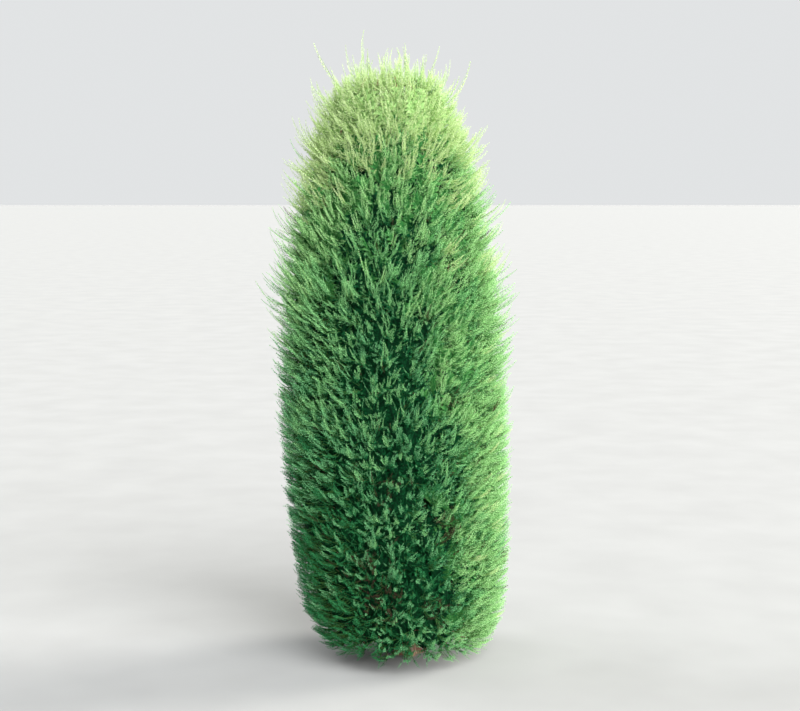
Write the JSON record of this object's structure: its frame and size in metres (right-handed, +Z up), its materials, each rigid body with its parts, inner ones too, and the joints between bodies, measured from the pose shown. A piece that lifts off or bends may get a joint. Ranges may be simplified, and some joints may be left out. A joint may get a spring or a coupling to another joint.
{
  "type": "columnar juniper shrub",
  "caption": "Upright columnar juniper: lean trunk, short rising boughs and a dense oval crown of spiky needle masses, cut flat at the ground.",
  "frame": {"origin": "centre of the trunk's flat cut at ground level", "axes": "+Z up the plant, +X to the right and +Y away from the viewer of the picture"},
  "size_m": [0.8312, 0.784, 2],
  "materials": {
    "bark": "fibrous reddish-brown bark, matt",
    "deep_needles": "deep blue-green needles, satin",
    "fresh_needles": "fresh green needles, satin",
    "tip_needles": "yellow-green young needles, satin"
  },
  "bodies": {
    "root": {"trunk": "bark", "bough_1_1": "bark", "bough_1_2": "bark", "bough_1_3": "bark", "bough_1_4": "bark", "bough_1_5": "bark", "bough_2_1": "bark", "bough_2_2": "bark", "bough_2_3": "bark", "bough_2_4": "bark", "bough_2_5": "bark", "bough_3_1": "bark", "bough_3_2": "bark", "bough_3_3": "bark", "bough_3_4": "bark", "bough_3_5": "bark", "bough_4_1": "bark", "bough_4_2": "bark", "bough_4_3": "bark", "bough_4_4": "bark", "bough_4_5": "bark", "foliage_1_1": "deep_needles", "foliage_1_2": "deep_needles", "foliage_1_3": "deep_needles", "foliage_1_4": "deep_needles", "foliage_1_5": "deep_needles", "foliage_2_1": "deep_needles", "foliage_2_2": "deep_needles", "foliage_2_3": "deep_needles", "foliage_2_4": "deep_needles", "foliage_2_5": "deep_needles", "foliage_3_1": "fresh_needles", "foliage_3_2": "fresh_needles", "foliage_3_3": "fresh_needles", "foliage_3_4": "fresh_needles", "foliage_3_5": "fresh_needles", "foliage_4_1": "fresh_needles", "foliage_4_2": "fresh_needles", "foliage_4_3": "fresh_needles", "foliage_4_4": "fresh_needles", "foliage_4_5": "fresh_needles", "foliage_top": "tip_needles"}
  },
  "joints": []
}
